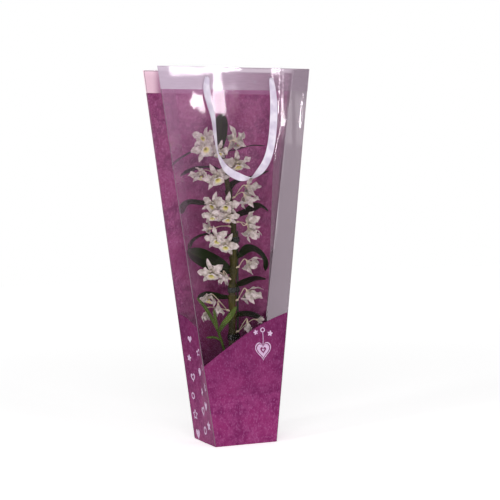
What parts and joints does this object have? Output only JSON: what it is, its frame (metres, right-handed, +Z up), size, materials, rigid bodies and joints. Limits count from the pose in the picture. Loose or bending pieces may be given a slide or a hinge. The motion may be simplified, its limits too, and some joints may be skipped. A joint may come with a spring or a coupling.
{
  "type": "dendrobium orchid",
  "caption": "Flowering dendrobium orchid, one leafy cane with bunches of white flowers, in a nursery pot that stands in a tapered clear-fronted carrier bag.",
  "frame": {"origin": "middle of the bag's base, on the surface it stands on", "axes": "+Z up along the plant; the bag's clear front panel faces -Y; +X is to the right seen from the front"},
  "size_m": [0.323, 0.1286, 0.75],
  "materials": {
    "clear_film": "clear, glossy",
    "printed_film": "printed, mottled",
    "satin_ribbon": "satin",
    "black_plastic": "moulded",
    "bark": "rough",
    "stake_green": "matte",
    "cane_green": "waxy",
    "shoot_green": "waxy",
    "leaf_green": "waxy",
    "petal_white": "soft, faintly translucent"
  },
  "bodies": {
    "root": {"bag_front_panel": "clear_film", "bag_back_panel": "printed_film", "bag_left_gusset_front": "clear_film", "bag_left_gusset_back": "clear_film", "bag_right_gusset_front": "clear_film", "bag_right_gusset_back": "clear_film", "bag_base": "printed_film", "ribbon_handle_front": "satin_ribbon", "ribbon_handle_back": "satin_ribbon", "nursery_pot": "black_plastic", "bark_medium": "bark", "stake": "stake_green", "clip_01": "black_plastic", "clip_02": "black_plastic", "clip_03": "black_plastic", "cane": "cane_green", "young_shoot": "shoot_green", "leaf_01": "leaf_green", "leaf_02": "leaf_green", "leaf_03": "leaf_green", "leaf_04": "leaf_green", "leaf_05": "leaf_green", "leaf_06": "leaf_green", "leaf_07": "leaf_green", "leaf_08": "leaf_green", "leaf_09": "leaf_green", "leaf_10": "leaf_green", "leaf_11": "leaf_green", "leaf_12": "leaf_green", "leaf_13": "leaf_green", "flowers_01": "petal_white", "flowers_02": "petal_white", "flowers_03": "petal_white", "flowers_04": "petal_white", "flowers_05": "petal_white", "flowers_06": "petal_white", "flowers_07": "petal_white", "flowers_08": "petal_white", "flowers_09": "petal_white", "flowers_10": "petal_white", "flowers_11": "petal_white", "flowers_12": "petal_white", "flowers_13": "petal_white", "flowers_14": "petal_white"}
  },
  "joints": []
}
